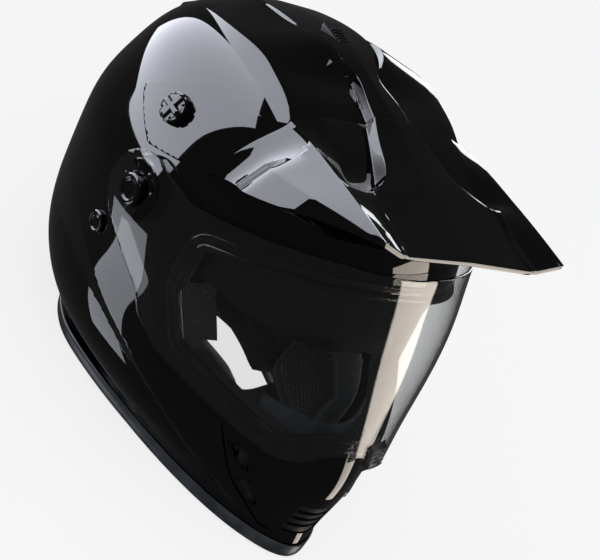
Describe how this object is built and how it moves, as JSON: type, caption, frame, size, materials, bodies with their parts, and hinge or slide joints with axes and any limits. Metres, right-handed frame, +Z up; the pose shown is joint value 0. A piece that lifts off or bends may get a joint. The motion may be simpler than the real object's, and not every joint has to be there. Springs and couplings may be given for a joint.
{
  "type": "dual sport helmet",
  "caption": "Full-face dual sport helmet with peak, lifting clear face shield, drop-down sun visor, vents, foam liner and chin straps.",
  "frame": {"origin": "middle of the helmet's width on the plane of the rim, in the neck opening", "axes": "-Y is forward, the way the wearer looks; +X is the wearer's left; +Z is up, out of the crown; the rim rests on Z = 0"},
  "size_m": [0.2774, 0.3515, 0.2746],
  "materials": {
    "gloss_black": "gloss",
    "satin_black": "satin",
    "clear": "clear polycarbonate",
    "smoke": "smoke tinted polycarbonate",
    "rubber": "matte",
    "foam": "expanded foam",
    "fabric": "knitted mesh",
    "webbing": "woven webbing",
    "steel": "polished steel"
  },
  "bodies": {
    "helmet": {"outer_shell": "gloss_black", "edge_trim": "rubber", "eyeport_gasket": "rubber", "eps_liner": "foam", "chin_bar_eps": "foam", "comfort_liner": "fabric", "cheek_pad_left": "fabric", "cheek_pad_right": "fabric", "neck_roll": "fabric", "breath_guard": "rubber", "chin_curtain": "fabric", "pivot_plate_left": "satin_black", "pivot_plate_right": "satin_black", "pivot_cap_left": "gloss_black", "pivot_cap_right": "gloss_black", "visor_pin_left": "satin_black", "visor_pin_right": "satin_black", "peak": "gloss_black", "side_screw_left": "gloss_black", "side_screw_right": "gloss_black", "top_vent_housing": "gloss_black", "rear_vent": "gloss_black", "chin_vent_left": "satin_black", "chin_vent_right": "satin_black", "mouth_vent_grille": "satin_black", "chin_strap_left": "webbing", "chin_strap_right": "webbing", "strap_anchor_left": "steel", "strap_anchor_right": "steel"},
    "shield": {"face_shield": "clear"},
    "visor": {"sun_visor": "smoke"},
    "lever": {"sun_visor_lever": "satin_black"},
    "knob_left": {"peak_knob_left": "satin_black"},
    "knob_right": {"peak_knob_right": "satin_black"},
    "shutter": {"mouth_vent_shutter": "satin_black"},
    "slider": {"top_vent_slider": "satin_black"},
    "rings": {"d_rings": "steel"}
  },
  "joints": [
    {"name": "shield_lift", "type": "hinge", "parent": "helmet", "child": "shield", "pos_m": [0, -0.008, 0.16], "axis": [-1, 0, 0], "range_deg": [0, 20]},
    {"name": "sun_visor_swing", "type": "hinge", "parent": "helmet", "child": "visor", "pos_m": [0, -0.018, 0.152], "axis": [-1, 0, 0], "range_deg": [0, 40]},
    {"name": "visor_lever_slide", "type": "slide", "parent": "helmet", "child": "lever", "axis": [-0.0099, -0.9999, 0.0075], "range_m": [0, 0.0262]},
    {"name": "peak_knob_left_turn", "type": "hinge", "parent": "helmet", "child": "knob_left", "pos_m": [0.11904, 0.012, 0.213], "axis": [0.9371, -0.0083, 0.3488], "range_deg": [0, 90]},
    {"name": "peak_knob_right_turn", "type": "hinge", "parent": "helmet", "child": "knob_right", "pos_m": [-0.11904, 0.012, 0.213], "axis": [-0.9371, -0.0083, 0.3488], "range_deg": [0, 90]},
    {"name": "mouth_vent_shutter_slide", "type": "slide", "parent": "helmet", "child": "shutter", "axis": [0, 0, 1], "range_m": [0, 0.00325]},
    {"name": "top_vent_slide", "type": "slide", "parent": "helmet", "child": "slider", "axis": [0, 1, 0], "range_m": [0, 0.008]},
    {"name": "d_rings_swing", "type": "hinge", "parent": "helmet", "child": "rings", "pos_m": [0.0262, -0.036, 0.009], "axis": [0, 1, 0], "range_deg": [0, 60]}
  ],
  "couplings": [
    {"joint": "visor_lever_slide", "follows": "sun_visor_swing", "m_per_rad": 0.037242}
  ]
}
